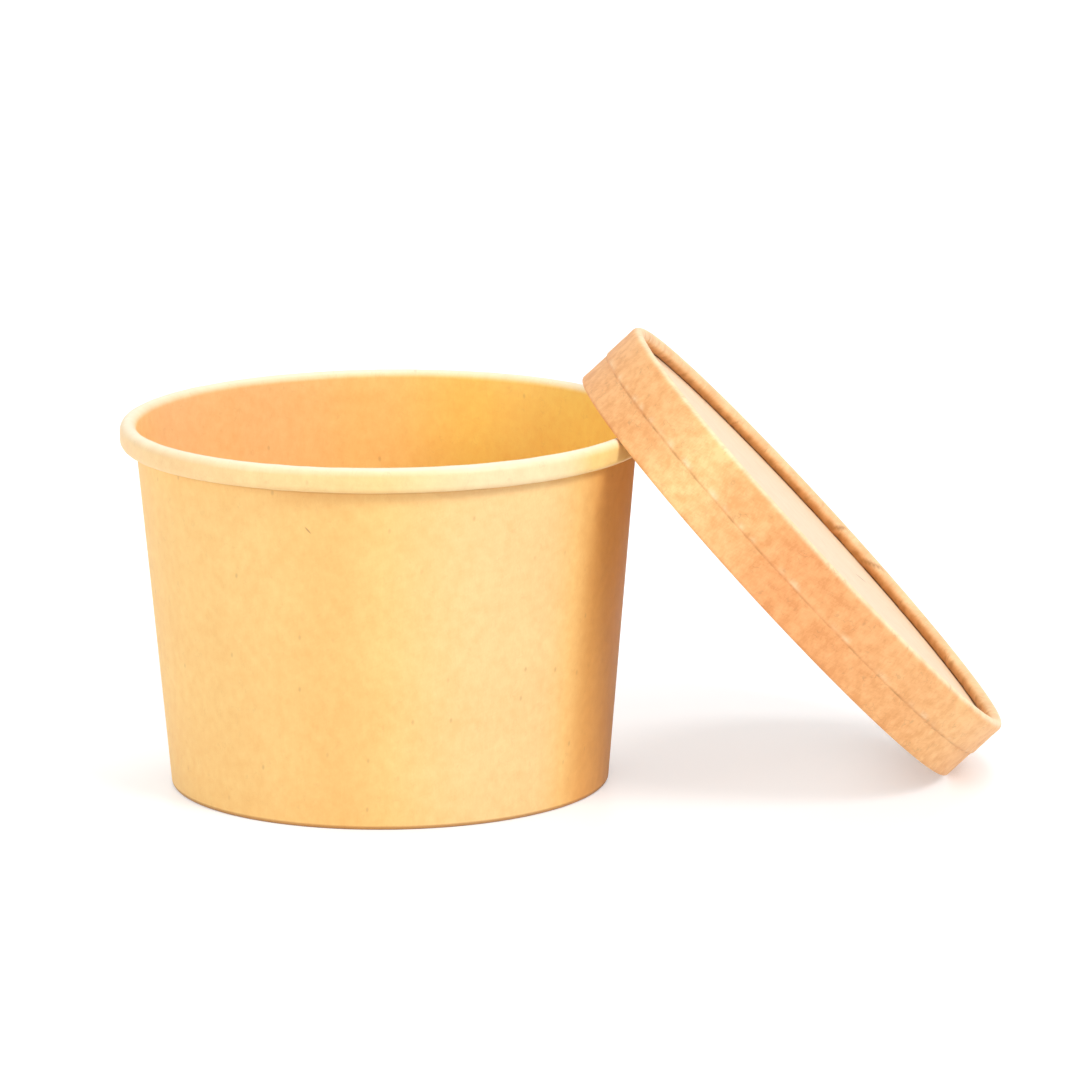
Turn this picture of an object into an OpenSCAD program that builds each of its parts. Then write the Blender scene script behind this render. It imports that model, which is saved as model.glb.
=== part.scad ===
// Paper soup cup with its lid taken off and leaning on the rim.
// The cup stands on z = 0 with its axis along Z. The lid leans on the +X side of the rim,
// with its open side towards the cup and its lowest edge on the floor.

/* [Cup] */
// Outer diameter across the rolled rim
rim_d = 98; // [92:0.5:104]
// Outer diameter at the foot
foot_d = 81; // [76:0.5:86]
// Height from the floor to the top of the rim
cup_h = 68; // [55:0.5:90]
// Thickness of the wall board
wall_t = 0.45; // [0.35:0.05:0.55]

/* [Rolled rim] */
// Width of the rolled bead, with the wall that it is rolled from
bead_w = 3; // [2.6:0.1:3.4]
// Height of the rolled bead
bead_h = 4.6; // [3.8:0.1:5.4]
// Length of the board's edge that is tucked up inside the bead
bead_tail = 1.2; // [0.6:0.1:1.6]

/* [Side seam] */
// Width of the overlap where the wall's two ends are glued
seam_w = 8; // [5:0.5:12]
// Direction of the seam's middle, turned from +X towards +Y
seam_at = 11; // [0:1:360]
// Length of wall over which the outer end rises onto the inner one
seam_rise = 5; // [3:0.5:8]
// Height by which the bead is swollen over the seam
seam_swell = 0.25; // [0.1:0.05:0.35]
// Length of straight wall below the bead that is swollen with it
swell_lead = 0.6; // [0.3:0.1:1.5]

/* [Foot] */
// Height of the base disc's upper face above the floor
base_z = 6.5; // [5:0.1:9]
// Thickness of the base disc's board
base_t = 0.4; // [0.3:0.05:0.5]
// Inner radius of the fold between the base disc and its skirt
base_fold = 0.4; // [0.2:0.1:0.8]
// Space between the end of the folded hem and the base disc
hem_space = 0.3; // [0.1:0.1:1]
// Clearance between glued layers of the cup
glue_gap = 0.04; // [0.02:0.01:0.08]

/* [Lid] */
// Height of the lid
lid_h = 14.3; // [12:0.1:18]
// Thickness of the lid's board
lid_t = 0.55; // [0.45:0.05:0.6]
// Clearance between the lid's skirt and the cup's bead
lid_fit = 0.6; // [0.1:0.05:1.2]
// Depth of the panel below the lid's top edge
recess = 2.9; // [2.8:0.1:4]
// Thickness of the panel's board
panel_t = 0.5; // [0.35:0.05:0.6]
// Inner radius of the fold between the panel and its flange
panel_fold = 0.2; // [0.1:0.05:0.4]
// Clearance between the layers at the lid's top edge
lid_gap = 0.12; // [0.05:0.01:0.2]
// Width of the rolled lip along the lid's top edge
lip_w = 2.5; // [2.3:0.1:2.6]
// Height of the lip's end above the panel
lip_end = 0.5; // [0.4:0.05:0.6]

/* [Snap band] */
// Height of the pressed line on the skirt above the open edge
band_h = 6.5; // [5:0.1:8]
// Depth by which the band below that line is set in
band_step = 0.25; // [0.1:0.05:0.4]
// Angle of the sloping step between the band and the skirt
band_slope = 35; // [20:1:50]
// Space between the end of the inner hem and the pressed line
band_space = 0.6; // [0.3:0.1:1.2]
// Clearance inside the fold at the open edge
edge_gap = 0.06; // [0.04:0.01:0.12]

/* [Lid seam] */
// Width of the overlap where the skirt's two ends are glued
lid_seam_w = 9; // [6:0.5:12]
// Direction of that overlap round the lid, from its lowest point towards +Y
lid_seam_at = 60; // [0:1:360]
// Length of skirt over which the outer end rises onto the inner one
lid_seam_rise = 6; // [4:0.5:9]
// Distance by which the outer end stops short of the lid's folded edges
lap_in = 0.3; // [0.2:0.1:0.8]

/* [Lean] */
// Angle between the lid's plane and the floor
lean = 47.6; // [40:0.2:56]
// Clearance between the lid's edge and the bead that it leans on
lean_gap = 0.05; // [0.02:0.01:0.3]

/* [Hidden] */
$fn = 96;
kraft = [0.93, 0.73, 0.50];
kraft_inside = [0.95, 0.77, 0.54];
kraft_lid = [0.90, 0.69, 0.46];
cream = [0.98, 0.91, 0.80];
// Number of edges that make up one fold
fold_n = 10;
// An overlap's outer end is sunk into the layer under it: its middle lies this share of a board
// outside the face, and it is this many boards thick.
proud = 0.25;
lap_depth = 1.5;
// The rising part is a hair thinner than the board, so that it stays inside the inner face.
flush_depth = 0.98;
// Angle by which the rising part and the overlap run into each other
join_deg = 0.3;
// Steps in which the lid is brought up to the bead, and the angle between tested points
touch_n = 30;
touch_step = 0.5;

// The wall's outer face runs straight from the foot's edge to the bead's inner edge.
foot_r = foot_d / 2;
rim_r = rim_d / 2;
wall_a = atan2(cup_h, rim_r - bead_w + wall_t - foot_r);
// Radius of a line parallel to the wall, a distance d inwards of its outer face, at height z
function wall_r(z, d) = foot_r + z / tan(wall_a) - d / sin(wall_a);

// A folded strip's middle line is a list of [radius, height, heading].
// A step of it is [length] for a straight run or [degrees, radius] for a fold.
function ahead(at, run) = [at[0] + run * cos(at[2]), at[1] + run * sin(at[2]), at[2]];
function bend(at, deg, r) =
    let (turned = at[2] + deg, side = r * sign(deg))
    [at[0] + side * (sin(turned) - sin(at[2])), at[1] - side * (cos(turned) - cos(at[2])), turned];
function folded(at, steps, i = 0) =
    i == len(steps) ? [at]
    : len(steps[i]) == 1 ? concat([at], folded(ahead(at, steps[i][0]), steps, i + 1))
    : concat(
        [for (k = [0 : fold_n - 1]) bend(at, steps[i][0] * k / fold_n, steps[i][1])],
        folded(bend(at, steps[i][0], steps[i][1]), steps, i + 1));
function backwards(line) = [for (i = [len(line) - 1 : -1 : 0]) [line[i][0], line[i][1], line[i][2] - 180]];
function beside(at, d) = [at[0] - d * sin(at[2]), at[1] + d * cos(at[2])];

// Cross-section of a board of thickness t that follows a middle line
module board(line, t) {
    polygon(concat(
        [for (at = line) beside(at, t / 2)],
        [for (i = [len(line) - 1 : -1 : 0]) beside(line[i], -t / 2)]));
}

// Cup wall: the middle line starts at the foot and is folded both ways from there.
foot_bend = wall_t / 2 + 0.1;
foot_z = wall_t / 2 + foot_bend * (1 - cos(wall_a));
foot_mid = [wall_r(foot_z, wall_t / 2), foot_z, wall_a];
// Width of the flat that the foot stands on, between its two bends
hem_in = wall_t + base_t + 2 * glue_gap;
foot_flat = (hem_in - 2 * foot_bend) / sin(wall_a);
base_mid_z = base_z - base_t / 2;
hem_top_z = base_z - base_t - hem_space;
hem_run = (hem_top_z - foot_bend - wall_t / 2) / sin(wall_a);
hem_line = folded(
    [foot_mid[0], foot_mid[1], wall_a + 180],
    [[-wall_a, foot_bend], [foot_flat], [wall_a - 180, foot_bend], [hem_run]]);

// The bead's upper fold is sized so that the bead ends at the rim's outer diameter.
bead_r = (rim_r - wall_t / 2 - wall_r(cup_h - wall_t / 2, wall_t / 2))
    / (1 + sin(wall_a) - (1 - cos(wall_a)) / tan(wall_a));
bead_in_z = cup_h - wall_t / 2 - bead_r * (1 - cos(wall_a));
bead_mid = [wall_r(bead_in_z, wall_t / 2), bead_in_z, wall_a];
curl_r = bead_r - wall_t / 2 - glue_gap;
bead_face = bead_h - bead_r - curl_r - wall_t;
bead_steps = [[-wall_a - 90, bead_r], [bead_face], [-180, curl_r], [bead_tail]];
wall_line = concat(backwards(hem_line), folded(bead_mid, bead_steps));

// Stretch over which a rolled board's outer end, of thickness t, rises onto its inner end. It turns
// about an axis shifted so that it leaves the outer face at radius r and ends one board proud of it.
module rising(r, t, to, wide) {
    shift = t / (wide * PI / 180);
    half = asin(shift / 2 / r);
    toward = to - wide + 90 - half;
    translate(shift * [cos(toward), sin(toward), 0])
        rotate_extrude(angle = wide + join_deg, start = to - wide - 2 * half)
            children();
}
// The outer end where it lies on the inner one, up to its cut edge
module lying(from, wide) {
    rotate_extrude(angle = wide + join_deg, start = from - join_deg)
        children();
}
function arc_deg(run, r) = run / r * 180 / PI;

// The wall's outer end, from the foot to the underside of the bead
seam_from = seam_at - arc_deg(seam_w, rim_r) / 2;
lap_run = (cup_h - bead_h - glue_gap - foot_z) / sin(wall_a);
function wall_strip(d) = folded([wall_r(foot_z, d), foot_z, wall_a], [[lap_run]]);
// The bead is thicker where the two ends are rolled together.
swell_line = folded(ahead(bead_mid, -swell_lead), [[swell_lead], bead_steps[0], bead_steps[1], [-150, curl_r]]);

module cup_wall() {
    color(kraft)
        union() {
            rotate_extrude()
                board(wall_line, wall_t);
            lying(seam_from, arc_deg(seam_w, rim_r))
                board(wall_strip(-wall_t * proud), wall_t * lap_depth);
            rising(wall_r(cup_h / 2, 0), wall_t, seam_from, arc_deg(seam_rise, rim_r))
                board(wall_strip(wall_t / 2), wall_t * flush_depth);
            lying(seam_from, arc_deg(seam_w, rim_r))
                board(swell_line, wall_t + 2 * seam_swell);
        }
}

// Cup base: a disc with its edge turned down between the wall and the hem
skirt_in = wall_t + glue_gap + base_t / 2;
base_bend = base_fold + base_t / 2;
skirt_top_z = base_mid_z - base_bend * (1 + cos(wall_a));
disc_r = wall_r(skirt_top_z, skirt_in) - base_bend * sin(wall_a);
skirt_run = (skirt_top_z - wall_t - glue_gap - base_t / 2) / sin(wall_a);
base_line = folded([0, base_mid_z, 0], [[disc_r], [wall_a - 180, base_bend], [skirt_run]]);

module cup_base() {
    color(kraft_inside)
        rotate_extrude()
            board(base_line, base_t);
}

// Lid ring: from the end of the inner hem, round the open edge, up the skirt and round the lip
lid_r = rim_r + lid_fit + lid_t;
edge_bend = (lid_t + edge_gap) / 2;
band_r = lid_r - band_step - lid_t / 2;
step_bend = band_step / 2 / (1 - cos(band_slope));
step_rise = 2 * step_bend * sin(band_slope);
band_run = band_h - step_rise / 2 - edge_bend - lid_t / 2;
hem_end = band_h - step_rise / 2 - band_space;
top_bend = (lip_w - lid_t) / 2;
lip_mid_r = lid_r - lid_t / 2 - top_bend;
lip_mid_z = lid_h - lid_t / 2 - top_bend;
skirt_h = lip_mid_z - band_h - step_rise / 2;
panel_top = lid_h - recess;
flange_out = lid_r - lid_t - lid_gap;
// The lip is rolled over the flange and past it, and its end leans back against the flange's inside.
lip_in = top_bend - lid_t / 2;
end_side = flange_out - panel_t - lid_gap - lip_mid_r;
end_down = lip_mid_z - panel_top - lip_end;
tuck_run = sqrt(end_side * end_side + end_down * end_down - lip_in * lip_in);
tuck_deg = 90 + atan2(end_side, end_down) - atan2(tuck_run, lip_in);
ring_line = folded(
    [band_r - 2 * edge_bend, hem_end, -90],
    [[hem_end - edge_bend - lid_t / 2], [180, edge_bend], [band_run],
        [-band_slope, step_bend], [band_slope, step_bend], [skirt_h], [180 + tuck_deg, top_bend], [tuck_run]]);

// The ring's outer end, from the open edge to the lip, and its two straight stretches
lid_seam_from = lid_seam_at - arc_deg(lid_seam_w, lid_r) / 2;
lid_rise = arc_deg(lid_seam_rise, lid_r);
lap_from = edge_bend + lid_t / 2 + lap_in;
ring_strip = folded(
    [band_r + lid_t * (proud + 0.5), lap_from, 90],
    [[band_run - lap_in], [-band_slope, step_bend], [band_slope, step_bend], [skirt_h - lap_in]]);
band_strip = folded([band_r, lap_from, 90], [[band_run - 2 * lap_in]]);
skirt_strip = folded(
    [band_r + band_step, band_h + step_rise / 2 + lap_in, 90],
    [[skirt_h - 2 * lap_in]]);

module lid_ring() {
    color(kraft_lid)
        lean_lid()
            union() {
                rotate_extrude()
                    board(ring_line, lid_t);
                lying(lid_seam_from, arc_deg(lid_seam_w, lid_r))
                    board(ring_strip, lid_t * lap_depth);
                rising(lid_r - band_step, lid_t, lid_seam_from, lid_rise)
                    board(band_strip, lid_t * flush_depth);
                rising(lid_r, lid_t, lid_seam_from, lid_rise)
                    board(skirt_strip, lid_t * flush_depth);
            }
}

// Lid panel: a disc with its edge turned up into the lip, as far as the middle of its roll
panel_mid = panel_top - panel_t / 2;
panel_bend = panel_fold + panel_t / 2;
flange_r = flange_out - panel_t / 2;
panel_line = folded(
    [0, panel_mid, 0],
    [[flange_r - panel_bend], [90, panel_bend], [lip_mid_z - panel_mid - panel_bend]]);

module lid_panel() {
    color(cream)
        lean_lid()
            rotate_extrude()
                board(panel_line, panel_t);
}

// Lean: the open edge is a ring of radius edge_r with a round fold of radius edge_round.
edge_round = edge_bend + lid_t / 2;
edge_r = lid_r - band_step - edge_round;
lean_z = edge_r * sin(lean) + edge_round * (1 - cos(lean));
// Point of that ring for a lid whose open side is centred at x, at an angle from its lowest point
function edge_point(x, deg) = [
    x + edge_r * cos(deg) * cos(lean) + edge_round * sin(lean),
    edge_r * sin(deg),
    lean_z - edge_r * cos(deg) * sin(lean) + edge_round * cos(lean)];
// Distance of a point from the middle of the bead's section
bead_mid_r = rim_r - bead_r - wall_t / 2;
bead_mid_z = cup_h - bead_r - wall_t / 2;
function from_bead(p) =
    norm([norm([p[0], p[1]]) - bead_mid_r, max(p[2] - bead_mid_z, 0, bead_mid_z - bead_face - p[2])]);
function clearance(x) =
    min([for (deg = [90 : touch_step : 180]) from_bead(edge_point(x, deg))])
    - bead_r - wall_t / 2 - edge_round - lean_gap;
// The lid slides towards the cup from well outside until its edge meets the bead.
function slid_in(x, n) = n == 0 ? x : slid_in(x - clearance(x), n - 1);
lean_x = slid_in(rim_r + lid_r + lid_h, touch_n);

module lean_lid() {
    translate([lean_x, 0, lean_z])
        rotate([0, lean, 0])
            children();
}

cup_wall();
cup_base();
lid_ring();
lid_panel();
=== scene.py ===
"""Looks of a kraft-paper soup cup, with its lid off and leaning on the rim.

Lengths are in metres, in the part's own frame: the cup stands on the floor at the origin, with its
axis along Z, and the lid leans on the +X side. Each board is one closed mesh: a folded middle line,
thickened to both sides and rolled round an axis.
"""
import math

import bmesh
import bpy
import numpy as np
from mathutils import Matrix, Vector

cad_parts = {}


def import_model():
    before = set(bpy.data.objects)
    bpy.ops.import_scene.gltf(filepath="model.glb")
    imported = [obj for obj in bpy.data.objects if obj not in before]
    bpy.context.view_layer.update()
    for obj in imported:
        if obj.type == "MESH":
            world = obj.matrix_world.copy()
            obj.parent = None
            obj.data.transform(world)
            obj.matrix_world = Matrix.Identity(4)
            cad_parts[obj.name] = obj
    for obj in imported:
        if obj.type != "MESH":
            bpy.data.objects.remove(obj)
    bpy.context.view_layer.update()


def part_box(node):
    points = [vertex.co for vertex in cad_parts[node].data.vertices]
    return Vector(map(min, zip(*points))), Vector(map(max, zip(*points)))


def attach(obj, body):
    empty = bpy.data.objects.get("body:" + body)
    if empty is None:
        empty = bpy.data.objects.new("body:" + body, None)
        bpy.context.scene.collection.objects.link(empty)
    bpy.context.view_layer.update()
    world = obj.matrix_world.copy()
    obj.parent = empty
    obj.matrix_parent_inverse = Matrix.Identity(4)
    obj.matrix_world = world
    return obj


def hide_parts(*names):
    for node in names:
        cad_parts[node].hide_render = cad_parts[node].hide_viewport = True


MM = 0.001
TURN = 2 * math.pi

# Boards and their folds, as in the part
WALL_T = 0.45 * MM
BASE_T = 0.4 * MM
LID_T = 0.55 * MM
PANEL_T = 0.5 * MM
GLUE_GAP = 0.04 * MM
BEAD_W = 3 * MM
BEAD_H = 4.6 * MM
BEAD_TAIL = 1.2 * MM
BASE_Z = 6.5 * MM
BASE_FOLD = 0.4 * MM
HEM_SPACE = 0.3 * MM
LID_H = 14.3 * MM
RECESS = 2.9 * MM
PANEL_FOLD = 0.2 * MM
LID_GAP = 0.12 * MM
LIP_W = 2.5 * MM
LIP_END = 0.5 * MM
BAND_H = 6.5 * MM
BAND_STEP = 0.25 * MM
BAND_SLOPE = math.radians(35)
BAND_SPACE = 0.6 * MM
EDGE_GAP = 0.06 * MM
LEAN = math.radians(47.6)

# How much smaller than the rim the foot is, in radius
FOOT_IN = 8.5 * MM

# Glued overlaps
SEAM_W = 8 * MM
SEAM_AT = math.radians(11)
SEAM_RISE = 5 * MM
SEAM_SWELL = 0.25 * MM
LID_SEAM_W = 9 * MM
LID_SEAM_AT = math.radians(60)
LID_SEAM_RISE = 6 * MM
LID_LAP = 0.4 * MM

# Handwork that the plain solids leave out
GROOVE_DEPTH = 0.1 * MM
GROOVE_W = 0.2 * MM
TUCK_SHORT = 0.1 * MM
HAIR = math.radians(0.012)
PLEAT_SEED = 11
FINE_ROW = 0.3 * MM

# The photograph's view. Its picture is square.
VIEW_DISTANCE = 1301 * MM
VIEW_RISE = math.radians(12.01)
VIEW_TURN = math.radians(3.16)
VIEW_ROLL = math.radians(-0.39)
VIEW_CENTRE = (28.11 * MM, 44.65 * MM)
PICTURE = 1080
FOCAL_PIXELS = 7050
SENSOR = 36

# Colours, linear
KRAFT = (0.97, 0.62, 0.235)
# Painted light and shade on the cup's outside: lit for its highlight band, shaded beside the lid
KRAFT_LIT = (0.98, 0.67, 0.32)
KRAFT_SHADED = (0.80, 0.41, 0.105)
INSIDE = (0.98, 0.62, 0.25)
# Painted light and shade on the cup's inside: lit on its left, shaded on its right
INSIDE_LIT = (0.97, 0.60, 0.30)
INSIDE_SHADED = (0.99, 0.65, 0.14)
RING = (0.83, 0.39, 0.155)
# Painted light on the lid's ring: lit where its skirt faces the light
RING_LIT = (0.95, 0.59, 0.255)
# Paler rolled edges of the bead and the lid's lip: partly paler stretched board, partly painted highlight
BEAD_PALE_AND_HIGHLIGHT = (0.99, 0.87, 0.68)
LIP_PALE_AND_HIGHLIGHT = (0.97, 0.74, 0.48)
# The panel: kraft painted paler, as painted light on its upward face
PANEL_LIT_KRAFT = (0.885, 0.69, 0.49)
FIBRE_DARK = (0.42, 0.20, 0.07)
FLOOR_DARK = (0.86, 0.85, 0.86)
FLOOR_PALE = (0.9, 0.89, 0.9)
# Painted shade in creases, along the groove, under the bead and the lip and at the foot, and the darker
# cut edge
SHADE_AND_CUT_BROWN = (0.42, 0.17, 0.04)

# The floor: its white's strength and share for the camera, and how high a cover still darkens it
FLOOR_WHITE = 1.6
FLOOR_SHARE = 0.38
COVER_HEIGHT = 40 * MM

# Single dark marks that the photograph shows: place on the flat paper, size, and angle in degrees
WALL_SPECK = ((200.3 * MM, 62.2 * MM), (1.6 * MM, 0.35 * MM), -45)
PANEL_SCRATCH = ((17.4 * MM, 20.7 * MM), (6 * MM, 0.8 * MM), 51)

# Painted light and shade round the cup and the lid, which stand for the key light's highlights and for
# the shade beside the lid and inside the cup: direction in degrees, and share of the lit colour, or of
# the shaded one below 0
PAINTED_LIGHT_OUTSIDE = [
    (-180, 0), (-125, 0), (-105, -0.25), (-64, 1), (-54, 1), (-32, -0.9), (-20, -1), (20, -1),
    (90, 0), (180, 0)]
PAINTED_LIGHT_INSIDE = [(-180, 0), (0, -1), (62, -1), (92, -0.2), (125, 0.6), (150, 1), (180, 0)]
PAINTED_LIGHT_RING = [
    (0, 0.6), (60, 0.3), (120, 0.5), (190, 0.4), (217, 0.4), (231, 0.95), (243, 0.5), (260, 0),
    (275, 0.1), (300, 0.35), (320, 0.6), (360, 0.6)]


# Board lines

def fold(start, steps, spacing=2.5 * MM, bend_step=math.radians(11)):
    """Middle line of a folded board, from (radius, height, heading): rows of radius, height,
    heading and length so far. A step is (length,) for a straight run or (angle, radius)."""
    r, z, heading = start
    run = 0.0
    rows = [(r, z, heading, run)]
    for step in steps:
        length = step[0] if len(step) == 1 else abs(step[0]) * step[1]
        turn = 0.0 if len(step) == 1 else step[0]
        parts = max(1, math.ceil(length / spacing), math.ceil(abs(turn) / bend_step))
        for _ in range(parts):
            chord = length / parts
            if turn:
                chord = 2 * step[1] * math.sin(abs(turn) / parts / 2)
            middle = heading + turn / parts / 2
            r += chord * math.cos(middle)
            z += chord * math.sin(middle)
            heading += turn / parts
            run += length / parts
            rows.append((r, z, heading, run))
    return np.array(rows)


def crisp_ends(line, near=0.03 * MM):
    """The line with one more row close to each end, so that a cut edge stays crisp."""
    first, last = line[0], line[-1]
    after = first + (line[1] - first) * near / (line[1][3] - first[3])
    before = last - (last - line[-2]) * near / (last[3] - line[-2][3])
    return np.vstack([first, after, line[1:-1], before, last])


def smooth(x):
    x = np.clip(x, 0, 1)
    return x * x * (3 - 2 * x)


def between(x, low, high, fade):
    """1 from low to high, and 0 from fade outside them."""
    return smooth((x - low) / fade + 1) * smooth((high - x) / fade + 1)


def uneven(turns, slowest, fastest, seed):
    """Smooth random wave round a full turn, between -1 and 1."""
    random = np.random.default_rng(seed)
    counts = np.arange(slowest, fastest + 1)
    phases = random.uniform(0, TURN, len(counts))
    sizes = random.uniform(0.3, 1, len(counts))
    wave = (sizes * np.cos(np.outer(turns, counts) + phases)).sum(1)
    return wave / np.abs(wave).max()


def painted_light_and_shade(turns, points):
    """The painted light and shade in each direction, without kinks, as one column per turn."""
    angles, shares = np.array(points).T
    at = (np.degrees(turns) - angles[0]) % 360 + angles[0]
    last = np.clip(np.searchsorted(angles, at, side="right") - 1, 0, len(angles) - 2)
    part = smooth((at - angles[last]) / (angles[last + 1] - angles[last]))
    return (shares[last] + (shares[last + 1] - shares[last]) * part)[:, None]


def columns(cut, count, steps=(), dense=()):
    """Directions of a mesh's columns, from one side of a cut edge to the other. They are a hair
    apart at each step, and closer within each (from, to, spacing) of dense."""
    found = [np.linspace(HAIR, TURN - HAIR, count)]
    for low, high, spacing in dense:
        found.append((np.arange(low, high, spacing) - cut) % TURN)
    all_turns = np.unique(np.concatenate(found))
    keep = (all_turns >= HAIR) & (all_turns <= TURN - HAIR)
    for step in steps:
        keep &= np.abs(all_turns - (step - cut) % TURN) > 4 * HAIR
    all_turns = all_turns[keep]
    all_turns = all_turns[np.insert(np.diff(all_turns) > HAIR, 0, True)]
    pairs = [(step - cut) % TURN + side * HAIR for step in steps for side in (-1, 1)]
    return cut + np.sort(np.concatenate([all_turns, pairs]))


# Meshes

def roll(name, line, thickness, turns, left=0.0, right=0.0, sheet=None, place=None, marks=None):
    """A board rolled round Z. left and right move its two faces towards the line's left, in metres,
    as arrays of columns by rows. sheet gives the place on the flat paper, and marks are further
    attributes, each an array of columns by rows, or a pair of them for the left and right faces."""
    r, z, heading, run = line.T
    shape = (len(turns), len(r))
    on_axis = r[0] < 1e-9
    sides = []
    for side, lift in ((1, left), (-1, right)):
        out = side * thickness / 2 + np.broadcast_to(lift, shape)
        radius = r - out * np.sin(heading)
        height = z + out * np.cos(heading)
        if on_axis:
            radius[:, 0] = 0
        flat = sheet(turns[:, None], run[None, :])
        face = np.full(shape, 0.0 if side < 0 else 1.0)
        sides.append((
            radius * np.cos(turns)[:, None], radius * np.sin(turns)[:, None], height,
            np.broadcast_to(flat[0], shape), np.broadcast_to(flat[1], shape), face))
    loop = [np.concatenate([a, b[:, ::-1]], 1) for a, b in zip(*sides)]
    wide = 2 * len(r)
    points = np.stack(loop[:3], -1).reshape(-1, 3)
    if place is not None:
        points = points @ np.array(place.to_3x3()).T + np.array(place.translation)

    index = np.arange(len(turns) * wide).reshape(len(turns), wide)
    following = np.roll(index, -1, 0)
    quads = np.stack([index, following, np.roll(following, -1, 1), np.roll(index, -1, 1)], -1)
    if on_axis:
        quads = quads[:, :-1]
    mesh = bpy.data.meshes.new(name)
    mesh.from_pydata(points.tolist(), [], quads.reshape(-1, 4).tolist())
    attribute = mesh.attributes.new("sheet", "FLOAT_VECTOR", "POINT")
    attribute.data.foreach_set("vector", np.stack(loop[3:], -1).astype(np.float32).ravel())
    cut = np.zeros(shape)
    cut[:, -1] = 1
    if not on_axis:
        cut[:, 0] = 1
    for key, value in {"cut": cut, **(marks or {})}.items():
        pair = value if isinstance(value, tuple) else (value, value)
        on_left, on_right = (np.broadcast_to(v, shape) for v in pair)
        both = np.concatenate([on_left, on_right[:, ::-1]], 1).astype(np.float32)
        mesh.attributes.new(key, "FLOAT", "POINT").data.foreach_set("value", both.ravel())

    shell = bmesh.new()
    shell.from_mesh(mesh)
    bmesh.ops.remove_doubles(shell, verts=shell.verts, dist=1e-9)
    bmesh.ops.recalc_face_normals(shell, faces=shell.faces)
    for face in shell.faces:
        face.smooth = True
    shell.to_mesh(mesh)
    shell.free()
    mesh.set_sharp_from_angle(angle=math.radians(50))
    piece = bpy.data.objects.new(name, mesh)
    bpy.context.scene.collection.objects.link(piece)
    return piece


def strip_sheet(cut, radius):
    """Place on a strip that is rolled at that radius from its cut edge on."""
    return lambda turns, run: (((turns - cut) % TURN) * radius, run)


def disc_sheet(turns, run):
    return run * np.cos(turns), run * np.sin(turns)


def overlap(turns, cut, wide, rise):
    """How far the outer end is lifted, from 0 to 1, and the same for its inner face."""
    onto = TURN - wide - rise
    since_cut = (turns - cut) % TURN
    lift = smooth((since_cut - onto) / rise)
    return lift[:, None], (lift * (since_cut < TURN - wide))[:, None]


# Cup

def cup_lines(rim_r, foot_r, height):
    """Middle lines of the wall and of the base, and the lengths at which the wall's parts begin. The
    wall has finer rows at its foot and under the bead, where it is marked."""
    slope = math.atan2(height, rim_r - BEAD_W + WALL_T - foot_r)

    def wall_r(z, inwards):
        return foot_r + z / math.tan(slope) - inwards / math.sin(slope)

    foot_bend = WALL_T / 2 + 0.1 * MM
    foot_z = WALL_T / 2 + foot_bend * (1 - math.cos(slope))
    foot_flat = (WALL_T + BASE_T + 2 * GLUE_GAP - 2 * foot_bend) / math.sin(slope)
    hem_top = BASE_Z - BASE_T - HEM_SPACE
    hem_run = (hem_top - foot_bend - WALL_T / 2) / math.sin(slope)
    down = fold(
        (wall_r(foot_z, WALL_T / 2), foot_z, slope + math.pi),
        [(-slope, foot_bend), (foot_flat,), (slope - math.pi, foot_bend), (hem_run,)])
    hem = down[::-1].copy()
    hem[:, 2] -= math.pi
    hem[:, 3] = down[-1, 3] - hem[:, 3]

    bead_r = (rim_r - WALL_T / 2 - wall_r(height - WALL_T / 2, WALL_T / 2)) / (
        1 + math.sin(slope) - (1 - math.cos(slope)) / math.tan(slope))
    curl_r = bead_r - WALL_T / 2 - GLUE_GAP
    bead_z = height - WALL_T / 2 - bead_r * (1 - math.cos(slope))
    face = BEAD_H - bead_r - curl_r - WALL_T
    lap_run = (height - BEAD_H - GLUE_GAP - foot_z) / math.sin(slope)
    bead_run = (bead_z - foot_z) / math.sin(slope)
    fine = (FINE_ROW,)
    up = fold(
        (hem[-1, 0], hem[-1, 1], slope),
        [fine, fine, (lap_run - 4 * FINE_ROW,), fine, fine, fine, (bead_run - lap_run - FINE_ROW,),
         (-slope - math.pi / 2, bead_r), (face,), (-math.pi, curl_r), (BEAD_TAIL,)], spacing=3 * MM)
    up[:, 3] += hem[-1, 3]
    marks = {"foot": hem[-1, 3], "lap_top": hem[-1, 3] + lap_run, "bead": hem[-1, 3] + bead_run}
    wall = crisp_ends(np.vstack([hem, up[1:]]))

    middle = BASE_Z - BASE_T / 2
    bend = BASE_FOLD + BASE_T / 2
    skirt_top = middle - bend * (1 + math.cos(slope))
    skirt_r = wall_r(skirt_top, WALL_T + GLUE_GAP + BASE_T / 2)
    skirt = (skirt_top - WALL_T - GLUE_GAP - BASE_T / 2) / math.sin(slope)
    base = crisp_ends(fold(
        (0, middle, 0),
        [(skirt_r - bend * math.sin(slope),), (slope - math.pi, bend), (skirt,)]))
    return wall, base, marks


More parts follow.
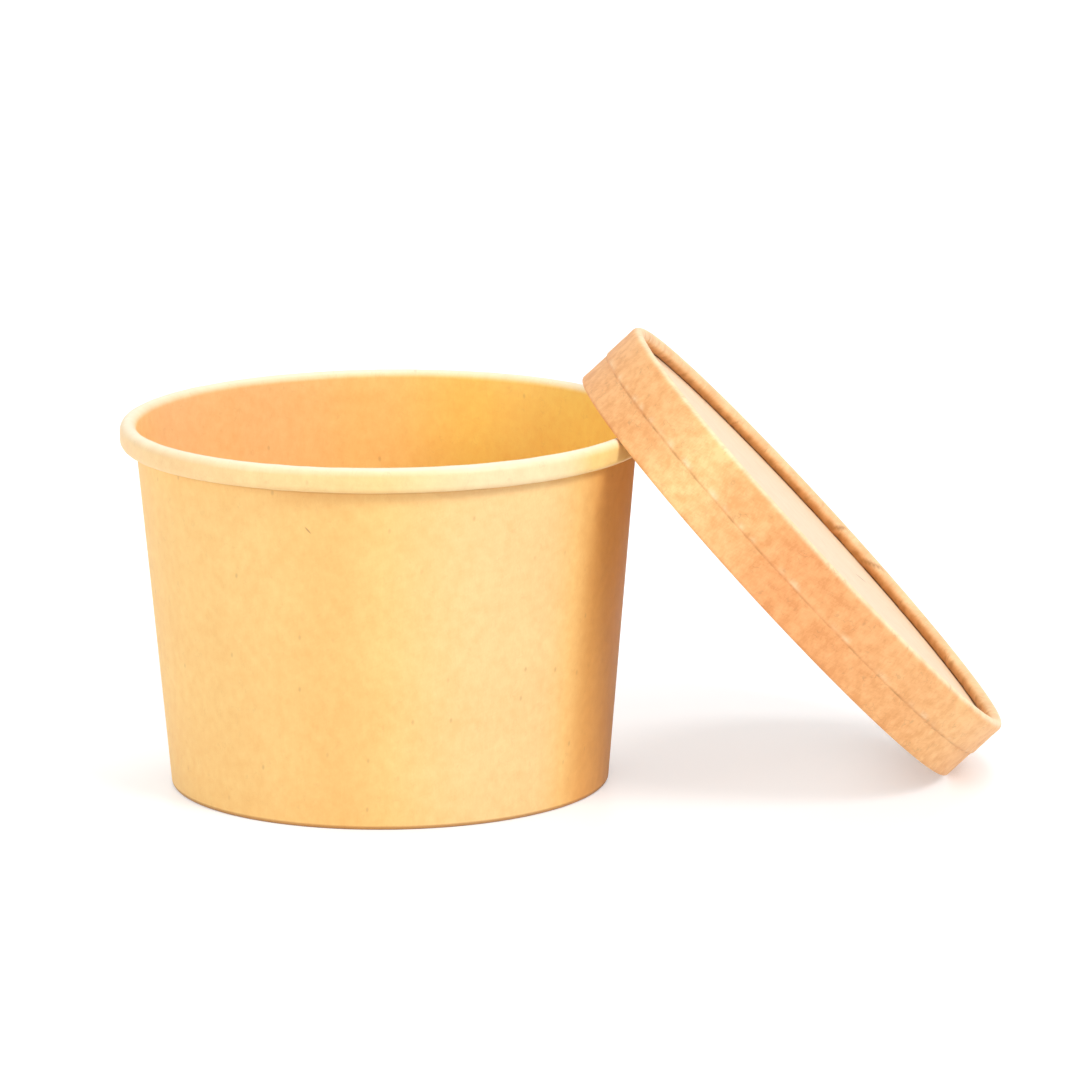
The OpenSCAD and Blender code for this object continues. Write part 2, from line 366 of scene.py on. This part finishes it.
def wall_piece(line, marks, rim_r):
    """The wall with its side seam. Its rolled edge is pale, with painted highlight on its top and in
    the lit band, and its outer face has painted shade under the bead and painted contact shadow along
    the floor, where the folded foot edge is also darker."""
    cut = SEAM_AT + SEAM_W / rim_r / 2
    turns = columns(cut, 540, steps=[cut - SEAM_W / rim_r])
    run = line[:, 3]
    lift, inner_lift = overlap(turns, cut, SEAM_W / rim_r, SEAM_RISE / rim_r)
    lapped = smooth((run - marks["foot"]) / (0.3 * MM)) * (run < marks["lap_top"])
    inside = between(run, marks["foot"] + 10 * MM, marks["lap_top"] - 3 * MM, 4 * MM)
    beaded = smooth((run - marks["bead"]) / (0.8 * MM))
    body = between(run, marks["foot"] + 12 * MM, marks["lap_top"] - 10 * MM, 10 * MM)
    # Painted shade under the bead, and painted contact shadow at the foot over its darker folded edge
    shade_under_bead = between(run, marks["lap_top"] - 0.2 * MM, marks["bead"], 0.3 * MM) * 0.7
    shade_under_bead = shade_under_bead * (0.75 + 0.25 * uneven(turns, 3, 40, 12))[:, None]
    foot_edge_and_contact_shade = between(run, marks["foot"] - MM, marks["foot"], 0.3 * MM) * 0.9
    # Painted highlight band and painted shade round the cup
    highlight_and_shade = painted_light_and_shade(turns, PAINTED_LIGHT_OUTSIDE)
    pale_and_shade_share = 0.25 + 0.4 * np.clip(highlight_and_shade, 0, 1)
    # The bead's top is paler: painted highlight where the light from above falls
    crown = np.clip(np.cos(line[:, 2]), 0, 1) ** 1.5
    sway = 0.05 * MM * uneven(turns, 2, 9, 3)[:, None] * body
    knead = 0.04 * MM * uneven(turns, 5, 60, 4)[:, None] * beaded
    return roll(
        "cup_wall_paper", line, WALL_T, turns,
        left=sway - WALL_T * inner_lift * inside + (SEAM_SWELL * lift - 0.04 * MM + knead) * beaded,
        right=sway - WALL_T * lift * lapped,
        sheet=strip_sheet(cut, rim_r),
        marks={
            "rolled": beaded * (pale_and_shade_share + (1 - pale_and_shade_share) * crown),
            "shaded": (0, shade_under_bead + foot_edge_and_contact_shade),
            "painted_light_and_shade": highlight_and_shade, "painted_light_and_shade_inside": painted_light_and_shade(turns, PAINTED_LIGHT_INSIDE)})


def base_piece(line):
    turns = np.linspace(0, TURN, 240, endpoint=False)
    return roll("cup_base_paper", line, BASE_T, turns, sheet=disc_sheet)


# Lid

def lid_lines(lid_r):
    edge_bend = (LID_T + EDGE_GAP) / 2
    band_r = lid_r - BAND_STEP - LID_T / 2
    step_bend = BAND_STEP / 2 / (1 - math.cos(BAND_SLOPE))
    step_rise = 2 * step_bend * math.sin(BAND_SLOPE)
    band_run = BAND_H - step_rise / 2 - edge_bend - LID_T / 2
    hem_end = BAND_H - step_rise / 2 - BAND_SPACE
    top_bend = (LIP_W - LID_T) / 2
    lip_r = lid_r - LID_T / 2 - top_bend
    lip_z = LID_H - LID_T / 2 - top_bend
    skirt = lip_z - BAND_H - step_rise / 2
    flange_out = lid_r - LID_T - LID_GAP
    lip_in = top_bend - LID_T / 2
    end_side = flange_out - PANEL_T - LID_GAP - lip_r
    end_down = lip_z - LID_H + RECESS - LIP_END
    tuck = math.sqrt(end_side ** 2 + end_down ** 2 - lip_in ** 2)
    lip_turn = 1.5 * math.pi + math.atan2(end_side, end_down) - math.atan2(tuck, lip_in)
    hem = hem_end - edge_bend - LID_T / 2
    steps = [
        (hem,), (math.pi, edge_bend), (band_run,), (-BAND_SLOPE, step_bend),
        (BAND_SLOPE, step_bend), (skirt,), (lip_turn, top_bend), (tuck - TUCK_SHORT,)]
    ring = fold(
        (band_r - 2 * edge_bend, hem_end, -math.pi / 2), steps, spacing=1.2 * MM,
        bend_step=math.radians(16))
    lengths = [s[0] if len(s) == 1 else abs(s[0]) * s[1] for s in steps]
    ends = np.cumsum(lengths)
    marks = {
        "band": ends[1], "step": ends[3], "lip": ends[5], "crown": ends[5] + top_bend * math.pi / 2,
        "end": ends[7], "lip_r": lid_r - LIP_W}

    middle = LID_H - RECESS - PANEL_T / 2
    bend = PANEL_FOLD + PANEL_T / 2
    panel = fold(
        (0, middle, 0),
        [(flange_out - PANEL_T / 2 - bend - MM,), (MM / 2,), (MM / 2,), (math.pi / 2, bend),
         (lip_z - middle - bend,)], spacing=1.5 * MM)
    return crisp_ends(ring), crisp_ends(panel), marks


def lid_place(lid_r):
    """Where the lid stands: on the floor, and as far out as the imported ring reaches."""
    edge_round = (LID_T + EDGE_GAP) / 2 + LID_T / 2
    edge_r = lid_r - BAND_STEP - edge_round
    lip_round = LIP_W / 2
    reach = (lid_r - lip_round) * math.cos(LEAN) + (LID_H - lip_round) * math.sin(LEAN) + lip_round
    height = edge_r * math.sin(LEAN) + edge_round * (1 - math.cos(LEAN))
    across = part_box("lid_ring")[1].x - reach
    return Matrix.Translation((across, 0, height)) @ Matrix.Rotation(LEAN, 4, "Y")


# Creases that the photograph shows in the tucked-in edge: direction round the lid from its lowest
# point where it meets the panel and where it ends, both in degrees, width and depth in millimetres,
# and how near to the crown it ends, from 0 at the crown to 1
SHOWN_PLEATS = [
    (146, 144, 0.9, 0.12, 0.2), (133, 132, 0.5, 0.12, 0.6), (120.4, 119, 0.4, 0.2, 0.55),
    (116.6, 116, 0.4, 0.15, 0.5), (110.3, 109, 0.5, 0.22, 0.4), (100.6, 100, 0.4, 0.15, 0.55),
    (95.1, 94, 0.4, 0.2, 0.55), (86, 85, 1.2, 0.08, 0.6), (75.4, 71.4, 1.7, 0.35, 0.1),
    (66.3, 56.5, 2.4, 0.3, 0), (57.1, 57.5, 0.4, 0.15, 0.6), (50.4, 51, 0.5, 0.18, 0.4),
    (42, 41, 1.1, 0.08, 0.6), (29.1, 30.5, 0.5, 0.2, 0.35), (17, 16, 0.9, 0.1, 0.5)]


def pleats():
    """The shown creases, and others of the same kind round the rest of the lid."""
    random = np.random.default_rng(PLEAT_SEED)
    found = list(SHOWN_PLEATS)
    at = 158
    while at < 372:
        slant = random.normal(0, 1.6)
        wide, deep, end = random.uniform(0.4, 1.2), random.uniform(0.08, 0.22), random.uniform(0, 0.7)
        found.append((at, at + slant, wide, deep, end))
        at += random.uniform(5, 14)
    return [(math.radians(a), math.radians(b), w * MM, d * MM, e) for a, b, w, d, e in found]


def ring_piece(line, marks, lid_r, place):
    """The lid's ring with its overlap, its uneven groove with painted shade and painted highlight, and
    the creases of its rolled lip, with painted shade in them and under the lip and painted highlight on
    the lip's top.
    """
    cut = LID_SEAM_AT + LID_SEAM_W / lid_r / 2
    found = pleats()
    step = math.radians(0.13)
    dense = [
        (min(a, b) - 1.6 * w / lid_r, max(a, b) + 1.6 * w / lid_r, max(step, w / lid_r / 3))
        for a, b, w, _, _ in found]
    turns = columns(cut, 370, steps=[cut - LID_SEAM_W / lid_r], dense=dense)
    run = line[:, 3]
    lift, inner_lift = overlap(turns, cut, LID_SEAM_W / lid_r, LID_SEAM_RISE / lid_r)
    lapped = between(run, marks["band"] + 0.3 * MM, marks["lip"], 0.9 * MM)
    groove = np.exp(-((run - marks["step"]) / GROOVE_W) ** 2)
    pale_and_shade_share = uneven(turns, 9, 90, 5)[:, None]
    # Painted shade along the groove, and painted highlight just past it, broken up unevenly
    groove_shade = groove * np.clip(pale_and_shade_share + 0.1, 0, 1) * 0.9
    groove_light = np.exp(-((run - marks["step"] - 2 * GROOVE_W) / GROOVE_W) ** 2) * np.clip(-pale_and_shade_share, 0, 1)
    groove = GROOVE_DEPTH * groove * (0.65 + 0.35 * pale_and_shade_share)
    sway = 0.03 * MM * (1 + uneven(turns, 3, 14, 6))[:, None] * between(
        run, marks["band"] + 2 * MM, marks["lip"] - MM, 2 * MM)

    past = np.clip((run - marks["crown"]) / (marks["end"] - marks["crown"]), 0, 1)
    tucked = smooth(past / 0.5)
    buckle = 0.08 * MM * (1 + uneven(turns, 40, 150, 7))[:, None] * tucked
    crease_shade = np.zeros((len(turns), len(run)))
    for low, high, wide, deep, end in found:
        middle = low + (high - low) * (1 - past) / (1 - end)
        off = (turns[:, None] - middle + math.pi) % TURN - math.pi
        off = off * marks["lip_r"] / wide
        held = tucked * smooth((past - end) / 0.2)
        buckle = buckle + deep * held * np.exp(-off ** 2)
        # Painted shade along each crease
        crease_shade += 1.4 * np.exp(-((off - 0.5) / 0.3) ** 2) * held * min(1, deep / (0.3 * MM)) ** 2
    heading = np.degrees(line[:, 2])
    ragged = 0.25 * uneven(turns, 25, 150, 8)[:, None]
    # Painted shade on the lip's downturned side and on its lower half, which faces down to the panel
    shaded = 0.45 * smooth((heading - 265) / 40) + 0.55 * smooth((past - 0.62 + ragged) / 0.3)
    rolled = between(heading, 145, 165, 45) * 0.5 + between(heading, 150, 255, 40) * 0.5
    # Marks: painted light round the ring, painted shade in the creases, along the groove and under the
    # lip, and painted highlight on the lip's top and just past the groove
    return roll(
        "lid_ring_paper", line, LID_T, turns,
        left=sway + groove - LID_LAP * inner_lift * lapped - buckle,
        right=sway + groove - LID_LAP * lift * lapped - buckle,
        sheet=strip_sheet(cut, lid_r), place=place,
        marks={
            "painted_light_and_shade": painted_light_and_shade(turns, PAINTED_LIGHT_RING), "crease_shade": np.clip(crease_shade, 0, 1),
            "rolled": np.clip(rolled + groove_light, 0, 1),
            "shaded": (0, np.clip(shaded + groove_shade, 0, 1))})


def panel_piece(line, place):
    """The lid's panel, slightly dished, with painted shade where the lip leans over it."""
    turns = np.linspace(0, TURN, 480, endpoint=False)
    run = line[:, 3]
    flat = between(run, 0, run[-1] - 8 * MM, 6 * MM)
    dish = -0.03 * MM * (1 + uneven(turns, 1, 5, 9))[:, None] * flat * smooth(run / (12 * MM))
    ragged = 0.15 * MM * uneven(turns, 25, 150, 10)[:, None]
    # Painted shade on the panel next to the lip's end
    shade_under_lip = 0.7 * smooth((line[:, 0] - line[-1, 0] + PANEL_T + 0.2 * MM + ragged) / (0.3 * MM))
    return roll(
        "lid_panel_paper", line, PANEL_T, turns, left=dish, right=dish,
        sheet=disc_sheet, place=place, marks={"shaded": (shade_under_lip, 0)})


# Materials

class Graph:
    """Nodes of a material or a world. Any input takes a number, a colour or a node's output."""

    def __init__(self, owner):
        self.owner = owner
        owner.use_nodes = True
        self.tree = owner.node_tree
        self.tree.nodes.clear()

    def add(self, kind, inputs=None, **settings):
        node = self.tree.nodes.new("ShaderNode" + kind)
        for key, value in settings.items():
            setattr(node, key, value)
        for key, value in (inputs or {}).items():
            if isinstance(value, bpy.types.NodeSocket):
                self.tree.links.new(value, node.inputs[key])
            else:
                node.inputs[key].default_value = value
        return node

    def math(self, operation, *values):
        return self.add("Math", dict(enumerate(values)), operation=operation).outputs[0]

    def mix(self, share, a, b):
        node = self.add("Mix", {0: share, 6: a, 7: b}, data_type="RGBA")
        return node.outputs[2]

    def attribute(self, name):
        return self.add("Attribute", attribute_name=name)

    def noise(self, place, size, detail=2.0, seed=0.0):
        """Clouds from 0 to 1 of that size in metres, which may differ along and across."""
        across, along = size if isinstance(size, tuple) else (size, size)
        spread = self.add("VectorMath", {0: place, 1: (1 / across, 1 / along, 5.0)}, operation="MULTIPLY")
        moved = self.add("VectorMath", {0: spread.outputs[0], 1: (seed, seed, seed)}, operation="ADD")
        node = self.add("TexNoise", {"Vector": moved.outputs[0], "Scale": 1.0, "Detail": detail})
        return node.outputs[0]

    def turned(self, place, degrees):
        return self.add(
            "VectorRotate", {"Vector": place, "Angle": math.radians(degrees)},
            rotation_type="Z_AXIS").outputs[0]

    def above(self, value, low, high):
        """0 up to low, 1 from high on."""
        node = self.add(
            "MapRange", {"Value": value, "From Min": low, "From Max": high},
            interpolation_type="SMOOTHSTEP")
        return node.outputs[0]

    def spot(self, place, at, size, degrees):
        """1 inside a small oval mark on the paper, 0 outside."""
        off = self.add("VectorMath", {0: place, 1: (*at, 0)}, operation="SUBTRACT").outputs[0]
        off = self.turned(off, -degrees)
        off = self.add(
            "VectorMath", {0: off, 1: (2 / size[0], 2 / size[1], 0)}, operation="MULTIPLY").outputs[0]
        far = self.add("VectorMath", {0: off}, operation="LENGTH").outputs["Value"]
        return self.math("SUBTRACT", 1.0, self.above(far, 0.5, 1.3))


def rgba(colour, times=1.0):
    return (*(min(1.0, c * times) for c in colour), 1.0)


def hues(g, tone, colour, pale=None, deep=None, along="painted_light_and_shade"):
    """A board's colour: darker and redder where the tone is low. It moves to the painted lit colour
    pale, or to the painted shaded colour deep, as the attribute along says."""
    def toned(c):
        return g.mix(tone, rgba((c[0] * 0.92, c[1] * 0.80, c[2] * 0.66)), rgba(c, 1.12))
    shade = toned(colour)
    if not (pale or deep):
        return shade
    highlight_and_shade = g.attribute(along).outputs["Fac"]
    if pale:
        shade = g.mix(g.math("MAXIMUM", highlight_and_shade, 0.0), shade, toned(pale))
    if deep:
        shade = g.mix(g.math("MAXIMUM", g.math("MULTIPLY", highlight_and_shade, -1.0), 0.0), shade, toned(deep))
    return shade


def paper(name, outside, inside=None, rolled=None, crease_shaded=False, mottle=1.0, rough=0.55, spots=()):
    """Kraft board. It has a cloudy colour, short fibres in all directions but mostly along the
    roll, rare dark flecks and strands, paler rolled edges that are partly painted highlight, painted
    shade in creases and where the shaded mark says, and a darker cut edge. outside and inside are
    the colour and its painted lit and shaded colours, and spots are single dark marks."""
    g = Graph(bpy.data.materials.new(name))
    sheet = g.attribute("sheet").outputs["Vector"]
    clouds = g.noise(sheet, 11 * MM, 3.0, seed=3.0)
    patches = g.noise(sheet, 4.5 * MM, 2.0, seed=29.0)
    blotches = g.noise(sheet, 2.2 * MM, 2.0, seed=17.0)
    grains = [
        g.noise(g.turned(sheet, degrees), (0.3 * MM, length), 1.0, seed=degrees + 40.0)
        for degrees, length in ((4.0, 2.0 * MM), (-25.0, 1.4 * MM), (68.0, 1.4 * MM))]
    fibre = g.math("MULTIPLY", g.math("ADD", g.math("ADD", grains[0], grains[1]), grains[2]), 1 / 3)
    tone = g.math("MULTIPLY_ADD", g.math("SUBTRACT", clouds, 0.5), 0.8 * mottle, 0.5)
    tone = g.math("MULTIPLY_ADD", g.math("SUBTRACT", patches, 0.5), 0.5 * mottle, tone)
    tone = g.math("MULTIPLY_ADD", g.math("SUBTRACT", blotches, 0.5), 1.1 * mottle, tone)
    tone = g.math("MULTIPLY_ADD", g.math("SUBTRACT", fibre, 0.5), 1.1 * mottle, tone)
    tone = g.add("Clamp", {"Value": tone}).outputs[0]

    face = g.add("SeparateXYZ", {0: sheet}).outputs["Z"]
    shade = hues(g, tone, *outside)
    if inside:
        shade = g.mix(face, shade, hues(g, tone, *inside, along="painted_light_and_shade_inside"))
    # Paler rolled edges, partly painted highlight
    if rolled:
        even_tone = g.math("MULTIPLY_ADD", tone, 0.6, 0.2)
        shade = g.mix(g.attribute("rolled").outputs["Fac"], shade, hues(g, even_tone, rolled))

    place = g.add(
        "VectorMath", {0: g.turned(sheet, 7.0), 1: (1 / (8 * MM), 1 / (12 * MM), 9.0)},
        operation="MULTIPLY").outputs[0]
    flecks = g.add("TexVoronoi", {"Vector": place, "Scale": 1.0}, voronoi_dimensions="2D")
    chosen = g.above(g.add("SeparateColor", {0: flecks.outputs["Color"]}).outputs[0], 0.55, 1.0)
    fleck = g.math("SUBTRACT", 1.0, g.above(flecks.outputs["Distance"], 0.01, 0.06))
    fleck = g.math("MULTIPLY", g.math("MULTIPLY", fleck, chosen), 0.3)
    for at, size, degrees in spots:
        fleck = g.math("MAXIMUM", fleck, g.math("MULTIPLY", g.spot(sheet, at, size, degrees), 0.7))
    strand = g.math("ABSOLUTE", g.math("SUBTRACT", g.noise(sheet, 1.6 * MM, 1.0, seed=61.0), 0.5))
    strand = g.math("SUBTRACT", 1.0, g.above(strand, 0.0, 0.035))
    strand = g.math("MULTIPLY", strand, g.above(g.noise(sheet, 2.6 * MM, 1.0, seed=83.0), 0.5, 0.7))
    fleck = g.math("MAXIMUM", fleck, g.math("MULTIPLY", strand, 0.16 * mottle))
    shade = g.mix(fleck, shade, rgba(FIBRE_DARK))
    # Painted shade in the creases
    if crease_shaded:
        shade = g.mix(g.math("MULTIPLY", g.attribute("crease_shade").outputs["Fac"], 0.8), shade, rgba(SHADE_AND_CUT_BROWN))
    # Painted shade wherever the shaded mark says
    shade = g.mix(g.math("MULTIPLY", g.attribute("shaded").outputs["Fac"], 0.8), shade, rgba(SHADE_AND_CUT_BROWN))
    cut = g.math("MULTIPLY", g.attribute("cut").outputs["Fac"], 0.5)
    shade = g.mix(cut, shade, rgba(SHADE_AND_CUT_BROWN))

    relief = g.math("MULTIPLY_ADD", blotches, 0.5, fibre)
    bump = g.add("Bump", {"Strength": 0.35, "Distance": 0.06 * MM, "Height": relief})
    roughness = g.math("MULTIPLY_ADD", g.math("SUBTRACT", fibre, 0.5), 0.25, rough)
    roughness = g.math("MULTIPLY_ADD", face, -0.08, roughness)
    shader = g.add("BsdfPrincipled", {
        "Base Color": shade, "Roughness": roughness, "Specular IOR Level": 0.45,
        "Sheen Weight": 0.05, "Sheen Roughness": 0.5, "Normal": bump.outputs[0]})
    g.add("OutputMaterial", {0: shader.outputs[0]})
    return g.owner


def seen_directly(g):
    """1 for the camera and for what gloss or glass shows."""
    path = g.add("LightPath")
    seen = g.math("MAXIMUM", path.outputs["Is Camera Ray"], path.outputs["Is Glossy Ray"])
    return g.math("MAXIMUM", seen, path.outputs["Is Transmission Ray"])


def floor_material():
    """Pale floor with a trace of gloss. The camera sees it as white, with the object's shadow, which
    is deepest where the floor is nearly covered."""
    g = Graph(bpy.data.materials.new("pale_floor"))
    speckle = g.noise(g.add("TexCoord").outputs["Object"], 4 * MM, 2.0)
    shade = g.mix(speckle, rgba(FLOOR_DARK), rgba(FLOOR_PALE))
    matte = g.add("BsdfPrincipled", {"Base Color": shade, "Roughness": 0.3, "Specular IOR Level": 0.05})
    white = g.add("Emission", {"Color": (1, 1, 1, 1), "Strength": FLOOR_WHITE})
    open_above = g.add("AmbientOcclusion", {"Distance": COVER_HEIGHT}, samples=6).outputs["AO"]
    share = g.math("MULTIPLY", g.above(open_above, 0.2, 0.42), FLOOR_SHARE)
    share = g.math("MULTIPLY", seen_directly(g), share)
    mixed = g.add("MixShader", {0: share, 1: matte.outputs[0], 2: white.outputs[0]})
    g.add("OutputMaterial", {0: mixed.outputs[0]})
    return g.owner


# Studio

def floor():
    bpy.ops.mesh.primitive_plane_add(size=9)
    plane = bpy.context.object
    plane.name = "studio_floor"
    plane.data.materials.append(floor_material())


def lamp(name, at, aim, size, strength):
    """Soft box whose light alone shows a facing white card at that share of full white."""
    data = bpy.data.lights.new(name, "AREA")
    data.shape = "DISK"
    data.size = size
    at, aim = Vector(at), Vector(aim)
    data.energy = strength * math.pi ** 2 * (at - aim).length_squared
    light = bpy.data.objects.new(name, data)
    light.location = at
    light.rotation_euler = (aim - at).to_track_quat("-Z", "Y").to_euler()
    bpy.context.scene.collection.objects.link(light)


def world(strength):
    """Even light, behind which the camera sees plain white."""
    g = Graph(bpy.data.worlds.new("studio"))
    level = g.add("MapRange", {"Value": seen_directly(g), "To Min": strength, "To Max": 1.0})
    background = g.add("Background", {"Color": (1, 1, 1, 1), "Strength": level.outputs[0]})
    g.add("OutputWorld", {0: background.outputs[0]})
    bpy.context.scene.world = g.owner


def camera():
    """The photograph's camera. It looks along +Y and a little down, turned so that the lid's
    uphill line points slightly away from it."""
    ahead = Vector((
        math.sin(VIEW_TURN) * math.cos(VIEW_RISE), math.cos(VIEW_TURN) * math.cos(VIEW_RISE),
        -math.sin(VIEW_RISE)))
    level = Vector((math.cos(VIEW_TURN), -math.sin(VIEW_TURN), 0))
    upward = level.cross(ahead)
    right = math.cos(VIEW_ROLL) * level + math.sin(VIEW_ROLL) * upward
    up = math.cos(VIEW_ROLL) * upward - math.sin(VIEW_ROLL) * level
    centre = VIEW_CENTRE[0] * level + Vector((0, 0, VIEW_CENTRE[1]))
    data = bpy.data.cameras.new("photo_view")
    data.sensor_width = SENSOR
    data.lens = FOCAL_PIXELS / PICTURE * SENSOR
    data.clip_start = 0.01
    view = bpy.data.objects.new("photo_view", data)
    turned = Matrix((right, up, -ahead)).transposed().to_4x4()
    view.matrix_world = Matrix.Translation(centre - VIEW_DISTANCE * ahead) @ turned
    bpy.context.scene.collection.objects.link(view)
    bpy.context.scene.camera = view


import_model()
wall_low, wall_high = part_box("cup_wall")
rim_radius = wall_high.y
cup_height = wall_high.z - SEAM_SWELL
foot_radius = rim_radius - FOOT_IN
lid_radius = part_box("lid_ring")[1].y

wall_line, base_line, wall_marks = cup_lines(rim_radius, foot_radius, cup_height)
ring_line, panel_line, ring_marks = lid_lines(lid_radius)
lid_stand = lid_place(lid_radius)

wall = wall_piece(wall_line, wall_marks, rim_radius)
base = base_piece(base_line)
ring = ring_piece(ring_line, ring_marks, lid_radius, lid_stand)
panel = panel_piece(panel_line, lid_stand)

wall_paper = paper(
    "kraft_wall_paper", (KRAFT, KRAFT_LIT, KRAFT_SHADED), (INSIDE, INSIDE_LIT, INSIDE_SHADED), BEAD_PALE_AND_HIGHLIGHT,
    mottle=0.6, spots=[WALL_SPECK])
base_paper = paper("kraft_base_paper", (INSIDE,), rough=0.5)
ring_paper = paper("kraft_ring_paper", (RING, RING_LIT), rolled=LIP_PALE_AND_HIGHLIGHT, crease_shaded=True, mottle=1.9)
# The panel's paper: kraft painted paler, as painted light on its upward face
panel_paper = paper("panel_paper_painted_lit", (PANEL_LIT_KRAFT,), mottle=0.5, spots=[PANEL_SCRATCH])
looks = [
    (wall, "cup_wall", "kraft_wall", wall_paper), (base, "cup_base", "kraft_base", base_paper),
    (ring, "lid_ring", "kraft_ring", ring_paper), (panel, "lid_panel", "cream_panel", panel_paper)]
for piece, node, slot, material in looks:
    piece.data.materials.append(material)
    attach(piece, "root")
    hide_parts(node)

floor()
world(0.42)
lamp("key_box", (2.3, -2.5, 2.5), (0.02, 0, 0.04), size=1.6, strength=0.58)
lamp("top_box", (0.6, 1.0, 3.4), (0.04, 0, 0.04), size=1.4, strength=0.3)
lamp("left_box", (-3.2, -1.6, 1.3), (0, 0, 0.04), size=2.2, strength=0.38)
camera()
bpy.context.scene.view_settings.view_transform = "Standard"
